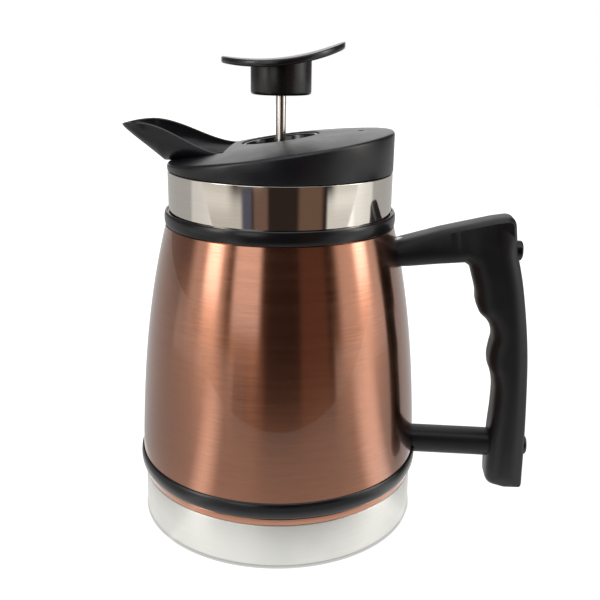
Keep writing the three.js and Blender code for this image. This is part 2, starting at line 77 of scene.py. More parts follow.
def dress(piece, material, sharpDegrees=35):
    mesh = piece.data
    mesh.shade_smooth()
    mesh.set_sharp_from_angle(angle=math.radians(sharpDegrees))
    mesh.materials.clear()
    mesh.materials.append(material)
    return piece


def turnPiece(name, profile, material, around=128, heightAt=None, sharpDegrees=35):
    # profile in mm, anticlockwise; heightAt(x, y, r, z) can lift each point
    loop = [Vector(p[:2]) for p in profile]
    verts, rings = [], []
    for point in loop:
        onAxis = point.x < 1e-6
        ring = []
        for k in range(1 if onAxis else around):
            angle = 2 * math.pi * k / around
            x, y = point.x * math.cos(angle), point.x * math.sin(angle)
            z = heightAt(x, y, point.x, point.y) if heightAt else point.y
            ring.append(len(verts))
            verts.append(Vector((x, y, z)) * mm)
        rings.append(ring)
    faces = []
    pairs = list(zip(rings, rings[1:]))
    if loop[0].x > 1e-6:
        pairs.append((rings[-1], rings[0]))
    for low, high in pairs:
        for k in range(around):
            n = (k + 1) % around
            if len(low) == 1 and len(high) == 1:
                break
            if len(low) == 1:
                faces.append((low[0], high[n], high[k]))
            elif len(high) == 1:
                faces.append((low[k], low[n], high[0]))
            else:
                faces.append((low[k], low[n], high[n], high[k]))
    return meshPiece(name, verts, faces, material, sharpDegrees)


def boxMesh(name, low, high):
    (ax, ay, az), (bx, by, bz) = [Vector(c) * mm for c in (low, high)]
    verts = [(x, y, z) for z in (az, bz) for y in (ay, by) for x in (ax, bx)]
    faces = [(0, 2, 3, 1), (4, 5, 7, 6), (0, 1, 5, 4), (2, 6, 7, 3), (0, 4, 6, 2), (1, 3, 7, 5)]
    mesh = bpy.data.meshes.new(name)
    mesh.from_pydata(verts, [], faces)
    piece = bpy.data.objects.new(name, mesh)
    scene.collection.objects.link(piece)
    return piece


def rodMesh(name, radius, start, end, sides=48):
    # a plain rod between two points in mm, used as a cutting tool
    a, b = Vector(start) * mm, Vector(end) * mm
    bm = bmesh.new()
    bmesh.ops.create_cone(bm, cap_ends=True, segments=sides, radius1=radius * mm,
                          radius2=radius * mm, depth=(b - a).length)
    turn = (b - a).to_track_quat("Z", "Y").to_matrix().to_4x4()
    bm.transform(Matrix.Translation((a + b) / 2) @ turn)
    mesh = bpy.data.meshes.new(name)
    bm.to_mesh(mesh)
    bm.free()
    piece = bpy.data.objects.new(name, mesh)
    scene.collection.objects.link(piece)
    return piece


def bakeModifiers(piece):
    depsgraph = bpy.context.evaluated_depsgraph_get()
    mesh = bpy.data.meshes.new_from_object(piece.evaluated_get(depsgraph), depsgraph=depsgraph)
    old = piece.data
    piece.modifiers.clear()
    piece.data = mesh
    mesh.name = piece.name
    bpy.data.meshes.remove(old)
    return piece


def carve(piece, *tools, operation="DIFFERENCE"):
    for tool in tools:
        cutter = piece.modifiers.new("carve", "BOOLEAN")
        cutter.operation = operation
        cutter.solver = "EXACT"
        cutter.object = tool
    bpy.context.view_layer.update()
    bakeModifiers(piece)
    for tool in tools:
        bpy.data.objects.remove(tool)
    return piece


def outward(piece):
    turned = bmesh.new()
    turned.from_mesh(piece.data)
    bmesh.ops.recalc_face_normals(turned, faces=turned.faces)
    turned.to_mesh(piece.data)
    turned.free()
    return piece


def settle(piece, body, slot, *nodes):
    if nodes:
        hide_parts(*nodes)
    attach(piece, body)
    return piece


def startTree(name, sizes):
    # a new node tree with one named input for each size, and one for the material
    tree = bpy.data.node_groups.new(name, "GeometryNodeTree")
    tree.interface.new_socket("Geometry", in_out="OUTPUT", socket_type="NodeSocketGeometry")
    for key, value in sizes.items():
        kind = "NodeSocketInt" if isinstance(value, int) else "NodeSocketFloat"
        tree.interface.new_socket(key, in_out="INPUT", socket_type=kind)
    tree.interface.new_socket("Material", in_out="INPUT", socket_type="NodeSocketMaterial")
    return tree, tree.nodes.new("NodeGroupInput").outputs


def plugIn(tree, value, socket):
    # value is a node, whose first output is taken, a socket, or a plain value
    if isinstance(value, bpy.types.Node):
        value = value.outputs[0]
    if isinstance(value, bpy.types.NodeSocket):
        tree.links.new(value, socket)
    elif value is not None:
        socket.default_value = value


def addNode(tree, kind, settings=None, **inputs):
    # a space in an input's name is written _
    node = tree.nodes.new(kind)
    for key, value in (settings or {}).items():
        setattr(node, key, value)
    for key, value in inputs.items():
        plugIn(tree, value, node.inputs[key.replace("_", " ")])
    return node


def joinAll(tree, *parts):
    join = tree.nodes.new("GeometryNodeJoinGeometry")
    for part in parts:
        plugIn(tree, part, join.inputs[0])
    return join


def endTree(tree, sockets, geometry):
    real = addNode(tree, "GeometryNodeRealizeInstances", Geometry=geometry)
    paint = addNode(tree, "GeometryNodeSetMaterial", Geometry=real, Material=sockets["Material"])
    plugIn(tree, paint, tree.nodes.new("NodeGroupOutput").inputs[0])
    return tree


def growPiece(name, tree, sizes, material, sharpDegrees=35):
    # runs the tree once on an empty mesh and keeps the result as a plain mesh
    piece = bpy.data.objects.new(name, bpy.data.meshes.new(name))
    scene.collection.objects.link(piece)
    grower = piece.modifiers.new("grow", "NODES")
    grower.node_group = tree
    for item in tree.interface.items_tree:
        if item.in_out == "INPUT":
            grower[item.identifier] = material if item.name == "Material" else sizes[item.name]
    bpy.context.view_layer.update()
    return dress(bakeModifiers(piece), material, sharpDegrees)


def lengths(tree, sockets, *keys):
    # sizes are given in mm; the tree works in metres
    return [joinMath(tree, "MULTIPLY", sockets[key], mm) for key in keys]


def mergePieces(name, *pieces):
    joined = bmesh.new()
    for piece in pieces:
        joined.from_mesh(piece.data)
    mesh = pieces[0].data
    joined.to_mesh(mesh)
    joined.free()
    for piece in pieces[1:]:
        bpy.data.objects.remove(piece)
    pieces[0].name = name
    return pieces[0]


def blankMaterial(name, color, **sockets):
    material = bpy.data.materials.new(name)
    material.use_nodes = True
    shader = material.node_tree.nodes["Principled BSDF"]
    shader.inputs["Base Color"].default_value = (*color, 1)
    for key, value in sockets.items():
        shader.inputs[key.replace("_", " ")].default_value = value
    return material, shader


def addNoise(material, scale, stretch=(1, 1, 1), detail=4, rough=0.55):
    put = partial(addNode, material.node_tree)
    place = put("ShaderNodeMapping", Vector=put("ShaderNodeTexCoord").outputs["Object"], Scale=stretch)
    return put("ShaderNodeTexNoise", Vector=place, Scale=scale, Detail=detail, Roughness=rough).outputs["Fac"]


def remap(material, value, low, high, fromLow=0.3, fromHigh=0.7):
    return addNode(material.node_tree, "ShaderNodeMapRange", Value=value, From_Min=fromLow, From_Max=fromHigh,
                   To_Min=low, To_Max=high).outputs["Result"]


def joinMath(tree, operation, a, b=None):
    node = addNode(tree, "ShaderNodeMath", {"operation": operation})
    plugIn(tree, a, node.inputs[0])
    plugIn(tree, b, node.inputs[1])
    return node.outputs[0]


def softWindow(tree, value, low, high, soft):
    # 1 between low and high, 0 outside, with soft edges
    ease = partial(addNode, tree, "ShaderNodeMapRange", {"interpolation_type": "SMOOTHSTEP"}, Value=value)
    rise = ease(From_Min=low - soft, From_Max=low + soft, To_Min=0.0, To_Max=1.0)
    fall = ease(From_Min=high - soft, From_Max=high + soft, To_Min=1.0, To_Max=0.0)
    return joinMath(tree, "MULTIPLY", rise, fall)


def turnedParts(tree, value):
    # the turn round Z away from the camera's side, in degrees, and the height, of a place or direction
    calc, put = partial(joinMath, tree), partial(addNode, tree)
    turn = put("ShaderNodeVectorRotate", {"rotation_type": "Z_AXIS"}, Vector=value,
               Angle=-math.radians(shot["azimuth"]))
    parts = put("ShaderNodeSeparateXYZ", Vector=turn).outputs
    side = calc("DEGREES", calc("ARCTAN2", parts["X"], calc("MULTIPLY", parts["Y"], -1.0)))
    return side, parts["Z"]


def tint(material, shader, value, dark, light, fromLow=0.3, fromHigh=0.7):
    ramp = addNode(material.node_tree, "ShaderNodeValToRGB", Fac=value)
    for stop, place, color in zip(ramp.color_ramp.elements, (fromLow, fromHigh), (dark, light)):
        stop.position = place
        stop.color = (*color, 1)
    plugIn(material.node_tree, ramp, shader.inputs["Base Color"])


def setRough(material, shader, value, low, high):
    plugIn(material.node_tree, remap(material, value, low, high), shader.inputs["Roughness"])


def addBump(material, shader, value, strength, depth):
    bump = addNode(material.node_tree, "ShaderNodeBump", Strength=strength, Distance=depth, Height=value)
    plugIn(material.node_tree, bump, shader.inputs["Normal"])


def brushRound(material, shader, amount):
    # the brushing runs round the jug, so highlights stretch up and down
    tangent = addNode(material.node_tree, "ShaderNodeTangent", {"direction_type": "RADIAL", "axis": "Z"})
    plugIn(material.node_tree, tangent, shader.inputs["Tangent"])
    shader.inputs["Anisotropic"].default_value = amount
    shader.inputs["Anisotropic Rotation"].default_value = 0.25


copperLook = {"dark": (0.357, 0.152, 0.087), "light": (0.422, 0.184, 0.108), "rough": (0.19, 0.24)}


def copperLacquer():
    material, shader = blankMaterial("copperLacquer", copperLook["light"], Metallic=1.0,
                                     Coat_Weight=1.0, Coat_Roughness=0.03, Coat_IOR=1.5)
    brushRound(material, shader, 0.86)
    fine = addNoise(material, 1, (90, 90, 3000), 4, 0.7)
    broad = addNoise(material, 1, (8, 8, 700), 4, 0.6)
    tint(material, shader, fine, copperLook["dark"], copperLook["light"], 0.36, 0.64)
    setRough(material, shader, broad, *copperLook["rough"])
    addBump(material, shader, fine, 0.035, 0.00003)
    return material


def brushedSteel(name, dark, light, rough, lineScale=2200, amount=0.6, bump=0.25):
    material, shader = blankMaterial(name, light, Metallic=1.0)
    brushRound(material, shader, amount)
    fine = addNoise(material, 1, (16, 16, lineScale), 4, 0.7)
    patches = addNoise(material, 60, (1, 1, 1), 3)
    tint(material, shader, fine, dark, light)
    setRough(material, shader, patches, *rough)
    addBump(material, shader, fine, bump, 0.00006)
    return material


def polishedSteel():
    material, shader = blankMaterial("polishedSteel", (0.68, 0.645, 0.59), Metallic=1.0)
    fine = addNoise(material, 1, (10, 10, 1800), 3)
    smears = addNoise(material, 45, (1, 1, 0.5), 3)
    tint(material, shader, fine, (0.665, 0.630, 0.572), (0.695, 0.660, 0.605))
    setRough(material, shader, smears, 0.035, 0.10)
    addBump(material, shader, fine, 0.02, 0.00003)
    return material


def mouldedPlastic(name, color, rough, grain=0.3, specular=0.5):
    material, shader = blankMaterial(name, color, Specular_IOR_Level=specular)
    pores = addNoise(material, 2600, (1, 1, 1), 2)
    patches = addNoise(material, 70, (1, 1, 1), 4)
    light = tuple(c * 1.3 for c in color)
    tint(material, shader, patches, color, light)
    setRough(material, shader, patches, *rough)
    addBump(material, shader, pores, grain, 0.00008)
    return material


def wovenDark(name, color):
    material, shader = blankMaterial(name, color, Metallic=1.0)
    patches = addNoise(material, 400, (1, 1, 1), 3)
    tint(material, shader, patches, tuple(c * 0.7 for c in color), color)
    setRough(material, shader, patches, 0.28, 0.45)
    return material


looks = {
    "copper": copperLacquer(),
    "band": brushedSteel("footSteel", (0.600, 0.605, 0.580), (0.655, 0.660, 0.635), (0.36, 0.44), 3800,
                         bump=0.12),
    "polished": polishedSteel(),
    "inner": brushedSteel("innerSteel", (0.50, 0.495, 0.48), (0.64, 0.63, 0.61), (0.26, 0.36), 1500, 0.5),
    "rod": brushedSteel("rodSteel", (0.60, 0.59, 0.56), (0.66, 0.65, 0.62), (0.13, 0.19), 90, 0.2, 0.02),
    "rubber": mouldedPlastic("blackRubber", (0.0035, 0.0033, 0.0045), (0.20, 0.28), 0.2, 0.4),
    "plastic": mouldedPlastic("satinPlastic", (0.0046, 0.0046, 0.0060), (0.34, 0.44), 0.35, 0.30),
    "lid": mouldedPlastic("lidPlastic", (0.0048, 0.0052, 0.0075), (0.27, 0.35), 0.3, 0.40),
    "gloss": mouldedPlastic("glossPlastic", (0.005, 0.005, 0.006), (0.08, 0.15), 0.05),
    "knob": mouldedPlastic("knobPlastic", (0.006, 0.006, 0.0075), (0.22, 0.30), 0.2),
    "silicone": mouldedPlastic("greySilicone", (0.055, 0.055, 0.058), (0.42, 0.55), 0.15),
    "brass": brushedSteel("insertBrass", (0.52, 0.36, 0.14), (0.66, 0.48, 0.21), (0.28, 0.40)),
    "wire": wovenDark("filterWire", (0.62, 0.61, 0.60)),
}
print("materials ready")


jug = {
    "baseRadius": 66.0, "bandTop": 21.0, "bandTopRadius": 65.7, "floorLow": 3.0, "floorHigh": 4.4,
    "skinFoot": 66.8, "curveStart": 30.0, "curveHeight": 112.0, "taper": 5.04, "bulge": 9.46,
    "power": 2.6, "wall": 1.2, "gap": 0.3, "skinTop": 147.3, "neckRadius": 51.0, "neckTop": 165.5,
    "linerRadius": 46.0, "linerWall": 0.9, "linerFloor": 16.0, "linerCorner": 7.0,
    "skinWall": 1.7, "around": 192, "rows": 64, "step": 0.3, "seamDrop": 0.5, "lip": 0.1,
}
lowerRing = {"low": 24.6, "high": 32.6, "seat": 65.2, "crest": 67.8}
upperRing = {"low": 141.0, "high": 147.6, "seat": 51.2, "crest": 53.0}


def skinRadius(z):
    t = max(0, z - jug["curveStart"]) / jug["curveHeight"]
    return jug["skinFoot"] - jug["taper"] * t - jug["bulge"] * t ** jug["power"]


def skinCurve(offset, steps):
    low, high = lowerRing["high"], upperRing["low"]
    heights = [low + (high - low) * i / steps for i in range(steps + 1)]
    return [(skinRadius(z) + offset, z) for z in heights]


def skinTree(sizes):
    # the skin's radius follows foot - taper * t - bulge * t ^ power, with t from 0 at the curve's start
    tree, size = startTree("skinByRule", sizes)
    calc, put = partial(joinMath, tree), partial(addNode, tree)
    start, height, low, high = lengths(tree, size, "Curve Start", "Curve Height", "Low", "High")
    foot, taper, bulge, wall = lengths(tree, size, "Foot Radius", "Taper", "Bulge", "Wall")
    tube = put("GeometryNodeMeshCylinder", {"fill_type": "NONE"}, Vertices=size["Around"],
               Side_Segments=size["Rows"], Radius=1.0, Depth=1.0)
    parts = put("ShaderNodeSeparateXYZ", Vector=put("GeometryNodeInputPosition")).outputs
    z = calc("ADD", low, calc("MULTIPLY", calc("ADD", parts["Z"], 0.5), calc("SUBTRACT", high, low)))
    t = calc("MAXIMUM", calc("DIVIDE", calc("SUBTRACT", z, start), height), 0.0)
    radius = calc("SUBTRACT", foot, calc("MULTIPLY", taper, t))
    radius = calc("SUBTRACT", radius, calc("MULTIPLY", bulge, calc("POWER", t, size["Power"])))
    x, y = (calc("MULTIPLY", parts[axis], radius) for axis in "XY")
    skin = put("GeometryNodeSetPosition", Geometry=tube, Position=put("ShaderNodeCombineXYZ", X=x, Y=y, Z=z))
    inward = put("GeometryNodeExtrudeMesh", {"mode": "FACES"}, Mesh=skin,
                 Offset_Scale=calc("MULTIPLY", wall, -1.0), Individual=False)
    both = joinAll(tree, skin, put("GeometryNodeFlipFaces", Mesh=inward))
    return endTree(tree, size, put("GeometryNodeMergeByDistance", Geometry=both, Distance=0.000005))


def makeShell():
    j, low, high = jug, lowerRing, upperRing
    sizes = {"Curve Start": j["curveStart"], "Curve Height": j["curveHeight"], "Foot Radius": j["skinFoot"],
             "Taper": j["taper"], "Bulge": j["bulge"], "Power": j["power"], "Wall": j["skinWall"],
             "Low": low["high"], "High": high["low"], "Around": j["around"], "Rows": j["rows"]}
    skin = growPiece("skin", skinTree(sizes), sizes, looks["copper"])
    start, ledge, outer = j["bandTop"] + j["gap"], low["low"] - j["step"], j["bandTopRadius"] + j["lip"]
    inner = low["seat"] - j["wall"]
    foot = turnPiece("skinFoot", roundCorners([
        (outer, start, 0.2), (outer + j["lip"], ledge, 0.3), (low["seat"], ledge), (low["seat"], low["high"]),
        (inner, low["high"]), (inner, start)]), looks["copper"], j["around"])
    neckIn, neckLow = high["seat"] - j["wall"], high["low"] - j["seamDrop"]
    neck = turnPiece("skinNeck", [(neckIn, neckLow), (high["seat"], neckLow), (high["seat"], j["skinTop"]),
                                  (neckIn, j["skinTop"])], looks["copper"], j["around"])
    shell = mergePieces("shellSkin", skin, foot, neck)
    dress(shell, looks["copper"], 35)
    return settle(shell, "carafe", "copper_lacquer", "outer_shell")


def makeFoot():
    j = jug
    profile = roundCorners([
        (0, j["floorLow"]), (61.5, j["floorLow"], 0.6), (63.4, 0.4, 0.5), (65, 0.4, 0.6),
        (j["baseRadius"], 1.5, 0.9), (j["bandTopRadius"] + 0.05, j["bandTop"], 0.35),
        (j["bandTopRadius"] - j["wall"], j["bandTop"]), (j["bandTopRadius"] - j["wall"], j["floorHigh"], 0.5),
        (0, j["floorHigh"])])
    return settle(turnPiece("footBand", profile, looks["band"], 192), "carafe", "brushed_steel", "base_cup")


def makePad():
    top = jug["floorLow"] - jug["gap"]
    grooves = [(0, 0)]
    for r in (12, 24, 36, 48):
        grooves += [(r - 0.8, 0), (r - 0.4, 0.5), (r + 0.4, 0.5), (r + 0.8, 0)]
    profile = roundCorners(grooves + [(59.6, 0, 0.4), (60.4, 1, 0.4), (60.4, top, 0.3), (0, top)])
    return settle(turnPiece("footPad", profile, looks["rubber"], 96), "carafe", "black_rubber", "base_pad")


def makeCollar():
    j = jug
    r, wall = j["neckRadius"], j["neckRadius"] - 1
    inner = j["linerRadius"] + j["linerWall"] + j["gap"]
    low, top = j["skinTop"] + j["gap"], j["neckTop"]
    profile = roundCorners([(r, low), (r, top, 0.3), (inner, top, 0.2), (inner, top - 1.2),
                            (wall, top - 1.2, 0.4), (wall, low)], 6)
    return settle(turnPiece("neckBand", profile, looks["polished"], 192), "carafe",
                  "polished_steel", "neck_collar")


def makeLiner():
    j = jug
    r, wall, corner = j["linerRadius"], j["linerWall"], j["linerCorner"]
    floor, top = j["linerFloor"], j["neckTop"]
    profile = roundCorners([
        (0, floor - wall), (r + wall, floor - wall, corner + wall), (r + wall, top, 0.35), (r, top, 0.35),
        (r, floor, corner), (0, floor)], 8)
    return settle(turnPiece("brewWall", profile, looks["inner"], 160), "carafe", "inner_steel", "inner_liner")


def bandProfile(ring, steps=14):
    # rubber band: flat against the seat, a soft dome outside
    inner = ring["seat"] + jug["gap"]
    low, high = ring["low"] + jug["gap"], ring["high"]
    middle, half = (low + high) / 2, (high - low) / 2
    lip = inner + 0.25 * (ring["crest"] - inner)
    points = [(inner, low)]
    for i in range(steps + 1):
        angle = math.pi * (i / steps - 0.5)
        bulge = abs(math.cos(angle)) ** 0.62
        points.append((lip + (ring["crest"] - lip) * bulge, middle + half * math.sin(angle)))
    return points + [(inner, high)]


def makeBands():
    lower = turnPiece("lowerBand", bandProfile(lowerRing), looks["rubber"], 192)
    notch = rodMesh("notch", 4.3, (60, 0, 33), (79, 0, 33))
    carve(lower, notch)
    dress(lower, looks["rubber"], 40)
    settle(lower, "carafe", "black_rubber", "lower_bumper")
    upper = turnPiece("upperBand", bandProfile(upperRing), looks["rubber"], 192)
    settle(upper, "carafe", "black_rubber", "upper_bumper")


makeShell()
makeFoot()
makePad()
makeCollar()
makeLiner()
makeBands()
print("jug ready")


# the grip and the upper arm are one outline in the X-Z plane, pillowed to both sides
grip = {
    "half": 11.5, "edge": 8.0, "armHalf": 9.8, "armEdge": 5.8, "blendFrom": 78.0, "blendTo": 94.0,
    "cell": 1.3, "lowerHalf": 6.8, "lowerLow": 27.4, "lowerHigh": 40.4,
    "back": [(121.2, 17), (120.6, 40), (119.4, 64), (118.1, 81.5), (115.9, 98.5), (112.6, 117), (109.0, 131)],
    "front": [(85.4, 125.6), (87.9, 123.6), (89.9, 117.8), (91.7, 111.5), (92.2, 107), (94, 102),
              (97.6, 98.4),
              (100.1, 94), (101.1, 89.3), (100.4, 84.6), (99.9, 79.6), (100.5, 74.8), (102.2, 70.4),
              (103.5, 63.7), (103.6, 53.3), (103.1, 41.6), (102.8, 22)],
    "foot": [(102.8, 22), (103.2, 14.4, 5), (112, 12.2, 6), (121.4, 12.4, 4.5), (121.2, 17)],
    "crown": [(109.0, 131), (106.9, 147.9, 9.5), (97, 146.3), (74, 140.6), (48, 132.8), (48, 122.2)],
    "under": [(48, 122.2), (60, 123), (74, 124.6), (85.4, 125.6)],
}
fixes = {"upper": {"z": 131.0, "backFace": 109.8}, "lower": {"z": 33.0, "backFace": 120.5}}
plugRadius = 4.6


def smoothThrough(points, steps=6):
    # Catmull-Rom curve through the points
    out = []
    ends = [points[0]] + points + [points[-1]]
    for a, b, c, d in zip(ends, ends[1:], ends[2:], ends[3:]):
        a, b, c, d = Vector(a), Vector(b), Vector(c), Vector(d)
        for k in range(steps):
            t = k / steps
            out.append(0.5 * (2 * b + (c - a) * t + (2 * a - 5 * b + 4 * c - d) * t ** 2
                              + (3 * b - a - 3 * c + d) * t ** 3))
    out.append(Vector(points[-1]))
    return out


def evenSteps(loop, step):
    # the same closed outline with points at even distances
    lengths = [(b - a).length for a, b in zip(loop, loop[1:] + loop[:1])]
    count = int(sum(lengths) / step)
    out, i, walked = [], 0, 0.0
    for k in range(count):
        want = sum(lengths) * k / count
        while walked + lengths[i] < want:
            walked += lengths[i]
            i += 1
        a, b = loop[i], loop[(i + 1) % len(loop)]
        out.append(a.lerp(b, (want - walked) / max(lengths[i], 1e-9)))
    return out


def gripOutline():
    foot = roundCorners(grip["foot"], 8)[1:-1]
    crown = roundCorners(grip["crown"], 10)[1:]
    loop = foot + smoothThrough(grip["back"]) + crown
    loop += [Vector(p) for p in grip["under"][1:-1]] + smoothThrough(grip["front"])
    return evenSteps(loop, 0.9)


def pillow(name, outline, sizeAt, cell, material):
    # fills the outline with points, then lifts each by its distance from the edge
    tree = KDTree(len(outline) * 4)
    for i, (a, b) in enumerate(zip(outline, outline[1:] + outline[:1])):
        for k in range(4):
            tree.insert((*a.lerp(b, k / 4), 0), i)
    tree.balance()
    points = list(outline)
    for inset in (0.15, 0.5, 1.05, 1.8):
        for a, b, c in zip(outline[-1:] + outline[:-1], outline, outline[1:] + outline[:1]):
            along = (c - a).normalized()
            moved = b + Vector((-along.y, along.x)) * inset
            if tree.find((*moved, 0))[2] > inset * 0.9:
                points.append(moved)
    lowX, highX = min(p.x for p in outline), max(p.x for p in outline)
    lowZ, highZ = min(p.y for p in outline), max(p.y for p in outline)
    for i in range(int((highX - lowX) / cell)):
        for k in range(int((highZ - lowZ) / cell)):
            point = Vector((lowX + (i + 0.5 * (k % 2)) * cell, lowZ + k * cell * 0.9))
            if tree.find((*point, 0))[2] > 2.5:
                points.append(point)
    count = len(outline)
    verts, _, faces = delaunay_2d_cdt(points, [], [list(range(count))], 1, 1e-6)[:3]
    flat = []
    for v in verts:
        depth = tree.find((*v, 0))[2]
        half, edge = sizeAt(v.x)
        depth = 0 if depth < 0.05 else min(depth, edge)
        flat.append((v.x, half - edge + math.sqrt(edge ** 2 - (edge - depth) ** 2), v.y))
    total = len(flat)
    allVerts = [Vector((x, -y, z)) * mm for x, y, z in flat] + [Vector(p) * mm for p in flat]
    allFaces = [tuple(f) for f in faces] + [tuple(total + i for i in reversed(f)) for f in faces]
    used = {}
    for face in faces:
        for a, b in zip(face, list(face[1:]) + [face[0]]):
            used[(a, b)] = True
    for a, b in used:
        if (b, a) not in used:
            allFaces.append((b, a, total + a, total + b))
    piece = meshPiece(name, allVerts, allFaces, material, 60)
    return outward(piece)


def gripSize(x):
    t = min(1, max(0, (x - grip["blendFrom"]) / (grip["blendTo"] - grip["blendFrom"])))
    t = t * t * (3 - 2 * t)
    return (grip["armHalf"] + (grip["half"] - grip["armHalf"]) * t,
            grip["armEdge"] + (grip["edge"] - grip["armEdge"]) * t)


def lowerBar():
    # a bar along X with a soft squared round section
    half, low, high = grip["lowerHalf"], grip["lowerLow"], grip["lowerHigh"]
    middle, rise = (low + high) / 2, (high - low) / 2
    loops = []
    for x in (60, 108):
        loop = []
        for k in range(48):
            angle = 2 * math.pi * k / 48
            c, s = math.cos(angle), math.sin(angle)
            loop.append(Vector((x, half * math.copysign(abs(c) ** 0.85, c),
                                middle + rise * math.copysign(abs(s) ** 0.85, s))) * mm)
        loops.append(loop)
    verts = loops[0] + loops[1]
    faces = [(k, (k + 1) % 48, 48 + (k + 1) % 48, 48 + k) for k in range(48)]
    faces += [tuple(range(47, -1, -1)), tuple(range(48, 96))]
    bar = meshPiece("lowerBar", verts, faces, looks["plastic"])
    return bar


def jugKeepOut():
    foot = lowerRing["crest"] + 0.05
    step = lowerRing["high"] + 0.05
    profile = [(0, 0), (foot, 0), (foot, step), (skinRadius(step) + 0.03, step)]
    profile += skinCurve(0.03, 60)[1:] + [(0, upperRing["low"])]
    return turnPiece("keepOut", profile, looks["rubber"], 192)


def makeHandle():
    handle = pillow("gripBody", gripOutline(), gripSize, grip["cell"], looks["plastic"])
    carve(handle, lowerBar(), operation="UNION")
    tools = [jugKeepOut()]
    for fix in fixes.values():
        x, z = fix["backFace"], fix["z"]
        tools.append(rodMesh("socket", plugRadius + 0.25, (x - 8, 0, z), (x + 6, 0, z)))
    carve(handle, *tools)
    dress(handle, looks["plastic"], 38)
    return settle(handle, "carafe", "black_plastic", "handle")


def makePlugs():
    for place, fix in fixes.items():
        x, z = fix["backFace"], fix["z"]
        start = x - 3.8
        profile = roundCorners([(0, 0), (plugRadius, 0), (plugRadius, x + 1.2 - start, 0.5),
                                (plugRadius - 0.9, x + 1.8 - start, 0.4), (1.8, x + 1.8 - start, 0.3),
                                (1.4, x + 1.3 - start, 0.3), (0, x + 1.3 - start)])
        plug = turnPiece(f"plug_{place}", profile, looks["rubber"], 48)
        turn = Matrix.Translation((start * mm, 0, z * mm)) @ Matrix.Rotation(math.pi / 2, 4, "Y")
        plug.data.transform(turn)
        settle(plug, "carafe", "black_rubber", f"screw_plug_{place}")


makeHandle()
makePlugs()
print("handle ready")


lid = {
    "low": 165.8, "radius": 51.1, "wall": 2.4, "topWall": 2.0, "tilt": 8.5, "middle": 176.06,
    "crown": 4.0, "edge": 1.3, "well": 17.5, "wellFloor": 166.5, "ventX": 36.0, "ventRadius": 1.5,
}


def lidTop(x, r):
    rise = math.tan(math.radians(lid["tilt"])) * x
    return lid["middle"] + rise + lid["crown"] * (1 - (r / lid["radius"]) ** 2)


def makeCover():
    # the skirt's points stay level and the others follow the tilted top
    r, well, edge = lid["radius"], lid["well"], lid["edge"]
    top = []
    steps = 26
    for i in range(5):
        angle = math.pi / 2 * i / 4
        top.append((r - edge + edge * math.cos(angle), -edge + edge * math.sin(angle), 1))
    for i in range(1, steps):
        top.append((r - edge + (well + 1 - r + edge) * i / steps, 0, 1))
    for i in range(5):
        angle = math.pi / 2 * (1 + i / 4)
        top.append((well + 1 + math.cos(angle), -1 + math.sin(angle), 1))
    under = [(well, -lid["topWall"] - 0.6, 1)]
    innerR = r - lid["wall"]
    for i in range(1, 9):
        under.append((well + (innerR - well) * i / 8, -lid["topWall"], 1))
    skirt = [(innerR, 0.3, 0), (innerR + 0.3, 0, 0), (r - 0.5, 0, 0), (r - 0.15, 0.15, 0), (r, 0.5, 0)]
    points = skirt + top + under
    kinds = {}
    flat = []
    for i, (pr, pz, onTop) in enumerate(points):
        flat.append((pr, float(i)))
        kinds[i] = (pz, onTop)

    def place(x, y, pr, index):
        offset, onTop = kinds[int(round(index))]
        return lidTop(x, pr) + offset if onTop else lid["low"] + offset

    cover = turnPiece("lidCover", flat, looks["lid"], 192, place, 40)
    vent = rodMesh("vent", lid["ventRadius"], (lid["ventX"], 0, 170), (lid["ventX"], 0, 200), 32)
    carve(cover, spoutSpace(0.25), vent)
    dress(cover, looks["lid"], 40)
    return settle(cover, "lid", "black_plastic", "lid_cover")


spout = {
    "inner": -22.0, "tip": -72.0, "nose": 13.0, "noseHalf": 14.2, "innerHalf": 25.0, "keelX": -52.5,
    "keelLow": 168.4, "rimLow": 174.7, "rimHigh": 186.0, "tipZ": 184.6, "wall": 1.7,
}


def spoutHalf(x):
    start = spout["tip"] + spout["nose"]
    if x < start:
        return spout["noseHalf"] * math.sqrt(max(0.0, 1 - ((start - x) / spout["nose"]) ** 2))
    t = (x - start) / (spout["inner"] - start)
    return spout["noseHalf"] + (spout["innerHalf"] - spout["noseHalf"]) * t ** 1.2


def spoutRim(x):
    crest = spout["tip"] + 11
    if x < crest:
        return spout["rimHigh"] - (spout["rimHigh"] - spout["tipZ"]) * ((crest - x) / 11) ** 2
    t = (spout["inner"] - x) / (spout["inner"] - crest)
    return spout["rimLow"] + (spout["rimHigh"] - spout["rimLow"]) * t * t * (3 - 2 * t)


def spoutKeel(x):
    t = min(1, max(0, (spout["keelX"] - x) / (spout["keelX"] - spout["tip"])))
    return spout["keelLow"] + (spout["tipZ"] - 0.6 - spout["keelLow"]) * t


def spoutSection(x, inset, lift, count=36):
    half = max(0.25, spoutHalf(x) - inset)
    rim = spoutRim(x)
    keel = min(spoutKeel(x) + lift, rim - 0.15)
    points = []
    for j in range(count + 1):
        angle = math.pi * (j / count - 0.5)
        height = rim - (rim - keel) * max(0, math.cos(angle)) ** 0.8
        points.append(Vector((x, half * math.sin(angle), height)))
    return points


def loftTrough(name, stations, material):
    # stations are closed loops with the same number of points
    count = len(stations[0])
    verts = [p * mm for loop in stations for p in loop]
    faces = []
    for s in range(len(stations) - 1):
        for j in range(count):
            n = (j + 1) % count
            faces.append((s * count + j, s * count + n, (s + 1) * count + n, (s + 1) * count + j))
    half = count // 2
    for base, flip in ((0, True), ((len(stations) - 1) * count, False)):
        for j in range(half - 1):
            quad = (base + j, base + j + 1, base + count - 2 - j, base + count - 1 - j)
            faces.append(quad[::-1] if flip else quad)
    return meshPiece(name, verts, faces, material, 50)


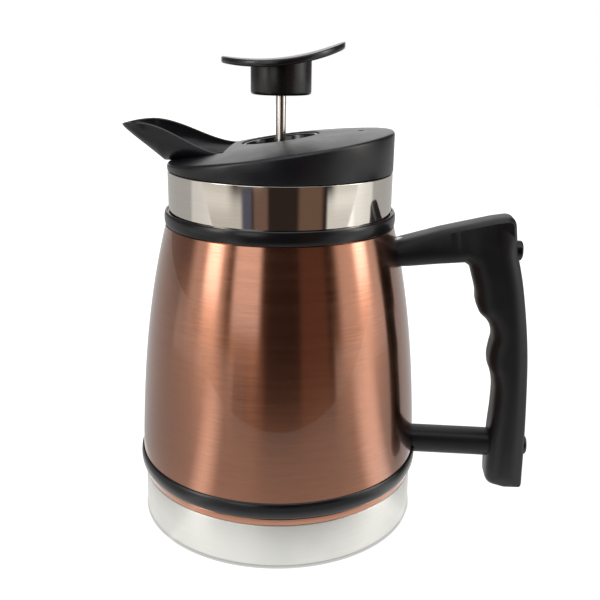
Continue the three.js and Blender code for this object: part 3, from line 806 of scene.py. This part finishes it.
def spoutStations():
    tip, inner = spout["tip"], spout["inner"] - 0.4
    count = 54
    return [tip + 0.02 + (inner - tip) * (i / count) ** 1.35 for i in range(count + 1)]


def spoutSpace(clearance):
    loops = []
    for x in spoutStations():
        reach = spout["inner"] if x > spout["inner"] - 1 else x
        outer = spoutSection(min(reach, spout["inner"]), -clearance, -clearance)
        for p in outer:
            p.x = reach
        loops.append(outer + [Vector((p.x, p.y, 200)) for p in reversed(outer)])
    return loftTrough("spoutSpace", loops, looks["rubber"])


def makeSpout():
    loops = []
    for x in spoutStations():
        wall = min(spout["wall"], 0.3 + (x - spout["tip"]) * 0.8)
        outer = spoutSection(x, 0, 0)
        inner = spoutSection(x, wall, wall)
        crown = 0.25 * wall
        for edge in (outer, inner):
            edge[0].z -= crown
            edge[-1].z -= crown
        left = (outer[0] + inner[0]) / 2 + Vector((0, 0, crown))
        right = (outer[-1] + inner[-1]) / 2 + Vector((0, 0, crown))
        loops.append([left] + outer + [right] + inner[::-1])
    # the loop starts and ends at the rim, so the end caps pair points across the wall
    piece = loftTrough("spoutTrough", [loop[1:] + loop[:1] for loop in loops], looks["lid"])
    outward(piece)
    slot = boxMesh("slot", (-38, -12, spout["keelLow"] - 2), (-24, 12, spout["keelLow"] + 2.4))
    carve(piece, slot)
    dress(piece, looks["lid"], 50)
    return settle(piece, "lid", "black_plastic", "spout")


def makeWell():
    outer = lid["well"] - 0.3
    inner = outer - 1.5
    floor = lid["wellFloor"]
    points = [(5.4, floor, 0), (outer - 2, floor, 0), (outer - 0.6, floor + 0.6, 0), (outer, floor + 2, 0)]
    points += [(outer, -1.4, 1), (outer - 0.2, -0.9, 1), (outer - 0.75, -0.65, 1), (inner + 0.2, -0.9, 1),
               (inner, -1.4, 1)]
    points += [(inner, floor + 5, 0), (inner - 0.8, floor + 2.6, 0), (inner - 3, floor + 1.6, 0),
               (5.4, floor + 1.6, 0)]
    flat = [(point[0], float(i)) for i, point in enumerate(points)]

    def place(x, y, pr, index):
        _, offset, onTop = points[int(round(index))]
        return lidTop(x, pr) + offset if onTop else offset

    cup = turnPiece("wellCup", flat, looks["gloss"], 128, place, 50)
    return settle(cup, "lid", "gloss_black", "rod_well")


guide = {"bore": 2.35, "flange": 7.0, "low": 151.2, "flangeTop": 151.7, "body": 5.1, "nose": 4.0, "rise": 3.4}


def makeBushing():
    g, top = guide, lid["wellFloor"] + guide["rise"]
    profile = roundCorners([
        (g["bore"], g["low"]), (g["flange"], g["low"], 0.2), (g["flange"], g["flangeTop"]),
        (g["body"], g["flangeTop"]), (g["body"], top - 1.2, 0.8), (g["nose"], top, 0.8),
        (g["bore"], top, 0.3)])
    return settle(turnPiece("rodGuide", profile, looks["gloss"], 64), "lid", "gloss_black", "rod_bushing")


plugBody = {
    "low": 152.0, "radius": 44.6, "seat": 42.9, "seatLow": 155.0, "seatHigh": 160.0,
    "flange": 48.2, "flangeLow": 165.9, "high": 166.6, "inner": 41.0, "floor": 154.5,
    "hub": 9.0, "hubTop": 166.2, "bore": 5.4,
}


def makePlugBody():
    b = plugBody
    profile = roundCorners([
        (b["bore"], b["low"]), (b["radius"] - 1.5, b["low"], 0.8), (b["radius"], b["low"] + 1.5, 0.8),
        (b["radius"], b["seatLow"]), (b["seat"], b["seatLow"]), (b["seat"], b["seatHigh"]),
        (b["radius"], b["seatHigh"], 0.2), (b["radius"], b["flangeLow"]), (b["flange"], b["flangeLow"], 0.2),
        (b["flange"], b["high"], 0.2), (b["inner"], b["high"], 0.4), (b["inner"], b["floor"], 1.5),
        (b["hub"], b["floor"], 1), (b["hub"], b["hubTop"]), (b["bore"], b["hubTop"])])
    plug = turnPiece("lidPlug", profile, looks["plastic"], 160)
    carve(plug, boxMesh("slot", (-38, -12, b["low"] - 1), (-24, 12, b["seatLow"] + 0.5)))
    dress(plug, looks["plastic"], 40)
    return settle(plug, "lid", "black_plastic", "lid_plug")


gasket = {"inner": 43.2, "lip": 45.7, "low": 155.3, "high": 159.7, "slope": 1.0}


def makeGasket():
    inner, lip, low, high, slope = gasket.values()
    waist = lip - slope
    profile = roundCorners([
        (inner, low), (waist, low, 0.3), (lip, low + slope, 0.35), (waist, (low + high) / 2, 0.5),
        (lip, high - slope, 0.35), (waist, high, 0.3), (inner, high)])
    return settle(turnPiece("lidRing", profile, looks["silicone"], 160), "lid_seal", "grey_silicone",
                  "lid_gasket")


makeCover()
makeSpout()
makeWell()
makeBushing()
makePlugBody()
makeGasket()
print("lid ready")


knob = {"radius": 27.1, "centre": 0.85, "thick": 2.8, "bend": 98.0, "lowX": -11.0, "topLow": 213.3,
        "collar": 13.5, "collarLow": 198.4, "turned": 7.0}
press = {"floor": 63.0, "disc": 67.0, "rod": 2.25, "hole": 2.55, "low": 3.0, "high": 8.6}


def knobHeight(x, drop):
    # the plate is bent round a line along Y; drop counts down from its top face
    reach = knob["bend"] + drop
    return knob["topLow"] + knob["bend"] - math.sqrt(reach ** 2 - (x - knob["lowX"]) ** 2)


def makeKnobPlate():
    r, edge = knob["radius"], 0.7
    points = []
    for i in range(13):
        points.append((r * i / 12 * (1 - edge / r), knob["thick"]))
    points += [(r - 0.2, knob["thick"] - 0.2), (r, knob["thick"] - edge), (r, edge), (r - 0.2, 0.2)]
    for i in range(13):
        points.append(((r - edge) * (12 - i) / 12, 0.0))

    def place(x, y, pr, drop):
        return knobHeight(x + knob["centre"], drop)

    plate = turnPiece("thumbPlate", points, looks["knob"], 128, place, 60)
    turned = Matrix.Rotation(math.radians(knob["turned"]), 4, "Z")
    plate.data.transform(turned @ Matrix.Translation((knob["centre"] * mm, 0, 0)))
    return settle(plate, "plunger", "black_plastic", "knob_plate")


def makeKnobCollar():
    r, low = knob["collar"], knob["collarLow"]
    points = roundCorners([(4, low, 0.3), (r, low, 1.6), (r, low + 8), (r, low + 20), (0, low + 20),
                           (0, low + 9), (4, low + 9)])

    def place(x, y, pr, z):
        return min(z, knobHeight(x, knob["thick"] + 0.15))

    collar = turnPiece("knobCollar", points, looks["knob"], 96, place, 50)
    collar.data.transform(Matrix.Rotation(math.radians(knob["turned"]), 4, "Z"))
    return settle(collar, "plunger", "gloss_black", "knob_collar")


def makeRod():
    low, high, r = press["floor"] - press["low"], knob["collarLow"] + press["high"], press["rod"]
    profile = roundCorners([(0, low), (r, low, 0.4), (r, high, 0.4), (0, high)])
    return settle(turnPiece("plungerRod", profile, looks["rod"], 48), "plunger", "polished_steel",
                  "plunger_rod")


wiper = {"low": 65.2, "high": 71.4, "inner": 39.8, "seat": 42.8, "lip": 45.7, "slope": 1.1, "play": 0.3}


def makeWiper():
    low, high, inner, seat, lip, slope, play = wiper.values()
    waist, under, over = lip - slope, press["disc"] - play, press["disc"] + 1.2 + play
    profile = roundCorners([
        (inner, low, 0.3), (waist, low, 0.3), (lip, low + slope, 0.4), (waist, (low + high) / 2, 0.7),
        (lip, high - slope, 0.4), (waist, high, 0.3), (inner, high, 0.3), (inner, over), (seat, over),
        (seat, under), (inner, under)])
    return settle(turnPiece("wiperRing", profile, looks["silicone"], 160), "plunger_seal", "grey_silicone",
                  "wiper_seal")


# the filter is a perforated support, a woven mesh and a press disc, all grown by node trees
filterLook = {
    "support": {"Radius": 43.4, "Bore": press["hole"], "Low": press["floor"], "Thick": 1.0, "Inner Holes": 8,
                "Inner Ring": 20.0, "Outer Holes": 12, "Outer Ring": 33.0, "Hole Radius": 3.6, "Around": 128},
    "disc": {"Radius": 42.5, "Bore": press["hole"], "Low": press["disc"], "Thick": 1.2, "Inner Holes": 6,
             "Inner Ring": 28.0, "Outer Holes": 0, "Outer Ring": 35.0, "Hole Radius": 5.0, "Around": 128},
    "weave": {"Radius": 43.2, "Hub": 4.2, "Height": 64.75, "Pitch": 1.7, "Rows": 50, "Wire": 0.2, "Wave": 0.2,
              "Rim": 0.36, "Sides": 6},
}


def drilled(tree, plate, tools, x, z):
    # cuts the tools out of a plate made round the origin, then moves it to its place
    put = partial(addNode, tree)
    cutter = put("GeometryNodeRealizeInstances", Geometry=tools)
    cut = put("GeometryNodeMeshBoolean", {"operation": "DIFFERENCE"}, Mesh_1=plate, Mesh_2=cutter)
    return put("GeometryNodeTransform", Geometry=cut, Translation=put("ShaderNodeCombineXYZ", X=x, Z=z))


def perforatedTree(sizes):
    tree, size = startTree("perforatedDisc", sizes)
    calc, put = partial(joinMath, tree), partial(addNode, tree)
    radius, bore, low, thick, hole = lengths(tree, size, "Radius", "Bore", "Low", "Thick", "Hole Radius")
    deep = calc("MULTIPLY", thick, 4.0)
    disc = put("GeometryNodeMeshCylinder", Vertices=size["Around"], Radius=radius, Depth=thick)
    drill = put("GeometryNodeMeshCylinder", Vertices=24, Radius=hole, Depth=deep)
    tools = [put("GeometryNodeMeshCylinder", Vertices=32, Radius=bore, Depth=deep)]
    for ring, reach in zip(("Inner", "Outer"), lengths(tree, size, "Inner Ring", "Outer Ring")):
        circle = put("GeometryNodeMeshCircle", Vertices=size[f"{ring} Holes"], Radius=reach)
        tools.append(put("GeometryNodeInstanceOnPoints", Points=circle, Instance=drill))
    middle = calc("ADD", low, calc("MULTIPLY", thick, 0.5))
    return endTree(tree, size, drilled(tree, disc, joinAll(tree, *tools), 0.0, middle))


def weaveTree(sizes):
    # half wires on rows along Y, turned to four sides; each follows a wave that passes over and under
    tree, size = startTree("wovenMesh", sizes)
    calc, put = partial(joinMath, tree), partial(addNode, tree)
    vector = partial(put, "ShaderNodeCombineXYZ")
    radius, hub, height, pitch = lengths(tree, size, "Radius", "Hub", "Height", "Pitch")
    wire, wave, rim = lengths(tree, size, "Wire", "Wave", "Rim")
    half = calc("MULTIPLY", calc("SUBTRACT", size["Rows"], 1.0), -0.5)
    rows = put("GeometryNodeMeshLine", Count=size["Rows"], Offset=vector(Y=pitch),
               Start_Location=vector(Y=calc("MULTIPLY", half, pitch)))
    parts = put("ShaderNodeSeparateXYZ", Vector=put("GeometryNodeInputPosition")).outputs
    across = calc("POWER", calc("ABSOLUTE", parts["Y"]), 2.0)
    ends = []
    for reach in (radius, hub):
        left = calc("SUBTRACT", calc("POWER", reach, 2.0), across)
        ends.append(calc("SQRT", calc("MAXIMUM", left, 0.0)))
    moved = put("GeometryNodeSetPosition", Geometry=rows, Offset=vector(X=ends[1]))
    # the rows have moved along X only, so the length of a wire still follows from Y
    straight = put("GeometryNodeCurvePrimitiveLine", Start=(0, 0, 0), End=(1, 0, 0))
    placed = put("GeometryNodeInstanceOnPoints", Points=moved, Instance=straight,
                 Scale=vector(X=calc("SUBTRACT", *ends), Y=1.0, Z=1.0))
    real = put("GeometryNodeRealizeInstances", Geometry=placed)
    fine = put("GeometryNodeResampleCurve", {"mode": "LENGTH"}, Curve=real,
               Length=calc("MULTIPLY", pitch, 0.5))
    ripple = calc("DIVIDE", math.pi, pitch)
    waves = [calc("SINE", calc("MULTIPLY", parts[axis], ripple)) for axis in "XY"]
    weave = calc("MULTIPLY", calc("MULTIPLY", *waves), wave)
    families = []
    for quarter in range(4):
        turned = put("GeometryNodeTransform", Geometry=fine, Rotation=(0, 0, math.pi / 2 * quarter))
        z = calc("ADD", height, calc("MULTIPLY", weave, -1.0 if quarter % 2 else 1.0))
        families.append(put("GeometryNodeSetPosition", Geometry=turned, Offset=vector(Z=z)))
    thread = put("GeometryNodeCurvePrimitiveCircle", Resolution=size["Sides"], Radius=wire)
    wires = put("GeometryNodeCurveToMesh", Curve=joinAll(tree, *families), Profile_Curve=thread,
                Fill_Caps=True)
    circle = put("GeometryNodeCurvePrimitiveCircle", Resolution=128, Radius=radius)
    hoop = put("GeometryNodeCurvePrimitiveCircle", Resolution=12, Radius=rim)
    edge = put("GeometryNodeCurveToMesh", Curve=circle, Profile_Curve=hoop)
    lifted = put("GeometryNodeTransform", Geometry=edge, Translation=vector(Z=height))
    return endTree(tree, size, joinAll(tree, wires, lifted))


def makeFilter():
    plates = {"support": ("supportPlate", "filter_support"), "disc": ("pressPlate", "press_disc")}
    for key, (name, node) in plates.items():
        sizes = filterLook[key]
        plate = growPiece(name, perforatedTree(sizes), sizes, looks["inner"])
        settle(outward(plate), "plunger", "inner_steel", node)
    sizes = filterLook["weave"]
    weave = growPiece("wovenFilter", weaveTree(sizes), sizes, looks["wire"], 50)
    settle(outward(weave), "plunger", "inner_steel", "filter_mesh")


strainer = {"From": -37.7, "To": -24.3, "Half": 11.7, "Low": 152.4, "Thick": 1.2, "Slots": 6, "Slot": 2.0,
            "Edge": 1.8}


def strainerTree(sizes):
    # a plate with a row of slots cut through it
    tree, size = startTree("pourSlots", sizes)
    calc, put = partial(joinMath, tree), partial(addNode, tree)
    vector = partial(put, "ShaderNodeCombineXYZ")
    start, end, half, low, thick = lengths(tree, size, "From", "To", "Half", "Low", "Thick")
    slot, edge = lengths(tree, size, "Slot", "Edge")
    length = calc("SUBTRACT", end, start)
    plate = put("GeometryNodeMeshCube", Size=vector(X=length, Y=calc("MULTIPLY", half, 2.0), Z=thick))
    opening = calc("SUBTRACT", length, calc("MULTIPLY", edge, 2.0))
    shape = put("GeometryNodeMeshCube", Size=vector(X=opening, Y=slot, Z=calc("MULTIPLY", thick, 4.0)))
    span = calc("SUBTRACT", calc("MULTIPLY", calc("SUBTRACT", half, edge), 2.0), slot)
    pitch = calc("DIVIDE", span, calc("SUBTRACT", size["Slots"], 1.0))
    rows = put("GeometryNodeMeshLine", Count=size["Slots"], Offset=vector(Y=pitch),
               Start_Location=vector(Y=calc("MULTIPLY", span, -0.5)))
    slots = put("GeometryNodeInstanceOnPoints", Points=rows, Instance=shape)
    middle = calc("MULTIPLY", calc("ADD", start, end), 0.5)
    level = calc("ADD", low, calc("MULTIPLY", thick, 0.5))
    return endTree(tree, size, drilled(tree, plate, slots, middle, level))


def makeStrainer():
    plate = growPiece("pourSlots", strainerTree(strainer), strainer, looks["plastic"])
    settle(outward(plate), "lid", "black_plastic", "pour_strainer")


def paintNodes():
    # the small metal pieces keep their frame shape and get a better finish
    finishes = {
        "inner": ["getter_cup", "weld_stud_upper", "weld_stud_lower", "screw_washer_upper",
                  "screw_washer_lower", "filter_spacer", "press_nut", "hub_nut"],
        "polished": ["handle_screw_upper", "handle_screw_lower"],
        "brass": ["knob_insert"],
    }
    for look, names in finishes.items():
        for name in names:
            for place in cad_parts[name].material_slots:
                place.material = looks[look]


makeKnobPlate()
makeKnobCollar()
makeRod()
makeWiper()
makeFilter()
makeStrainer()
paintNodes()
print("plunger ready")


shot = {"distance": 0.3699, "height": 0.2177, "azimuth": 6.0, "down": 17.24, "aside": 1.515, "roll": 0.86,
        "lens": 48.49}
room = {"dark": (0.034, 0.023, 0.020),
        "behind": {"side": (156, 400), "up": (-95, 95), "soft": 4, "color": (1, 1, 1), "power": 1.0}}


def makeCamera():
    azimuth = math.radians(shot["azimuth"])
    back = Vector((math.sin(azimuth), -math.cos(azimuth), 0))
    ahead = -back
    ahead.rotate(Matrix.Rotation(-math.radians(shot["aside"]), 3, "Z"))
    down = math.radians(shot["down"])
    aim = ahead * math.cos(down) + Vector((0, 0, -math.sin(down)))
    data = bpy.data.cameras.new("camera")
    data.lens = shot["lens"]
    data.sensor_width = 36
    data.clip_start = 0.01
    camera = bpy.data.objects.new("camera", data)
    scene.collection.objects.link(camera)
    camera.location = back * shot["distance"] + Vector((0, 0, shot["height"]))
    roll = Matrix.Rotation(math.radians(shot["roll"]), 4, "Z")
    look = aim.to_track_quat("-Z", "Y").to_matrix().to_4x4()
    camera.matrix_world = Matrix.Translation(camera.location) @ look @ roll
    scene.camera = camera


# soft patches of light in the room, by azimuth from the camera (degrees, right positive) and height
patches = [
    {"side": (-110, -38), "up": (-60, -6), "soft": 2, "color": (1.0, 0.955, 0.89), "power": 0.66},
    {"side": (-150, -90), "up": (-6, 62), "soft": 5, "color": (1.0, 0.95, 0.93), "power": 0.17},
    {"side": (-88, -50), "up": (-6, 55), "soft": 6, "color": (1.0, 0.965, 0.92), "power": 1.0},
    {"side": (-71, -56), "up": (2, 55), "soft": 4, "color": (1.0, 0.97, 0.93), "power": 4.2},
    {"side": (-42, -17), "up": (-2, 32), "soft": 3, "color": (1.0, 0.98, 0.96), "power": 1.8},
    {"side": (-38, -28), "up": (-40, -5), "soft": 1, "color": (0.55, 0.65, 1.0), "power": 0.13},
    {"side": (-26, -12), "up": (-40, -3), "soft": 2, "color": (1.0, 0.58, 0.42), "power": 0.17},
    {"side": (18, 42), "up": (-40, 20), "soft": 3, "color": (1.0, 0.58, 0.38), "power": 0.15},
    {"side": (47, 120), "up": (-60, -6), "soft": 2, "color": (1.0, 0.975, 0.93), "power": 0.82},
    {"side": (54, 103), "up": (-6, 55), "soft": 5, "color": (1.0, 0.965, 0.92), "power": 1.1},
    {"side": (75, 89), "up": (2, 55), "soft": 4, "color": (1.0, 0.97, 0.93), "power": 4.4},
    {"side": (108, 150), "up": (-6, 62), "soft": 4, "color": (1.0, 0.97, 0.94), "power": 0.10},
    {"side": (-60, 60), "up": (46, 66), "soft": 5, "color": (0.90, 0.95, 1.0), "power": 1.5},
    {"side": (-400, 400), "up": (62, 95), "soft": 8, "color": (1.0, 1.0, 1.0), "power": 1.1},
]


def makeWorld():
    world = bpy.data.worlds.new("studio")
    scene.world = world
    world.use_nodes = True
    tree = world.node_tree
    tree.nodes.clear()
    calc, put = partial(joinMath, tree), partial(addNode, tree)
    side, height = turnedParts(tree, put("ShaderNodeTexCoord").outputs["Generated"])
    up = calc("DEGREES", calc("ARCSINE", height))
    total = room["dark"]
    for patch in patches + [room["behind"]]:
        along = calc("ABSOLUTE", side) if patch is room["behind"] else side
        share = calc("MULTIPLY", softWindow(tree, along, *patch["side"], patch["soft"]),
                     softWindow(tree, up, *patch["up"], patch["soft"]))
        scaled = put("ShaderNodeVectorMath", {"operation": "SCALE"}, Vector=patch["color"],
                     Scale=calc("MULTIPLY", share, patch["power"]))
        added = put("ShaderNodeVectorMath", {"operation": "ADD"})
        plugIn(tree, total, added.inputs[0])
        plugIn(tree, scaled, added.inputs[1])
        total = added
    mix = put("ShaderNodeMixShader", Fac=put("ShaderNodeLightPath").outputs["Is Camera Ray"])
    plugIn(tree, put("ShaderNodeBackground", Color=total), mix.inputs[1])
    plugIn(tree, put("ShaderNodeBackground", Color=(1, 1, 1, 1)), mix.inputs[2])
    put("ShaderNodeOutputWorld", Surface=mix)


# painted light on the floor: emission levels for the glow round the foot, the two pools, the far sides and
# the table, and the painted contact shadow under the foot
floorPaintedLight = {
    "front": 0.27, "back": 3.0, "near": 0.108, "nearSoft": 0.014, "nearGlow": 1.0, "far": 0.50,
    "farSoft": 0.1, "table": 0.26, "poolSoft": 8, "sideSoft": 4, "shadeLow": 0.4, "shadeOut": 0.0668,
    "pools": [{"side": (-56, -42), "glow": 1.2}, {"side": (58, 79), "glow": 1.15}],
    "farSides": [{"side": (-98, -38), "glow": 0.56}, {"side": (45, 104), "glow": 0.66}], "seen": 0.95,
}


def makeFloor():
    # painted light: the floor glows brighter close to the foot, in two painted pools of light and far out to
    # the sides; painted shade right under the foot
    f = floorPaintedLight
    material, shader = blankMaterial("paleFloorPaintedLight", (0.22, 0.22, 0.22), Roughness=0.6)
    tree = material.node_tree
    calc, put = partial(joinMath, tree), partial(addNode, tree)
    shader.inputs["Emission Color"].default_value = (1, 0.99, 0.97, 1)
    place = put("ShaderNodeTexCoord").outputs["Object"]
    side = turnedParts(tree, place)[0]
    distance = put("ShaderNodeVectorMath", {"operation": "LENGTH"}, Vector=place).outputs["Value"]
    # painted pool of light close round the foot
    glow = calc("MULTIPLY", softWindow(tree, distance, -1, f["near"], f["nearSoft"]), f["nearGlow"])
    glow = calc("MAXIMUM", glow, f["table"])
    # two painted pools of light to the sides, and painted light far out to the sides
    for pool in f["pools"]:
        share = softWindow(tree, side, *pool["side"], f["poolSoft"])
        glow = calc("MAXIMUM", glow, calc("MULTIPLY", share, pool["glow"]))
    for pool in f["farSides"]:
        share = calc("MULTIPLY", softWindow(tree, side, *pool["side"], f["sideSoft"]),
                     softWindow(tree, distance, f["far"], 10, f["farSoft"]))
        glow = calc("MAXIMUM", glow, calc("MULTIPLY", share, pool["glow"]))
    # painted contact shadow: the glow fades to shadeLow right under the foot
    shade = remap(material, distance, f["shadeLow"], 1, jug["baseRadius"] * mm, f["shadeOut"])
    seen = calc("MULTIPLY", put("ShaderNodeLightPath").outputs["Is Camera Ray"], f["seen"])
    plugIn(tree, calc("MULTIPLY", calc("MAXIMUM", glow, seen), shade), shader.inputs["Emission Strength"])
    grain = addNoise(material, 300, (1, 1, 1), 3)
    addBump(material, shader, grain, 0.03, 0.0002)
    turn = Matrix.Rotation(math.radians(shot["azimuth"]), 3, "Z")
    front, back = f["front"], f["back"]
    corners = ((-back, -front, 0), (back, -front, 0), (back, back, 0), (-back, back, 0))
    floor = meshPiece("floor", [turn @ Vector(c) for c in corners], [(0, 1, 2, 3)], material)


makeCamera()
makeWorld()
makeFloor()
scene.view_settings.view_transform = "Standard"
print("studio ready")
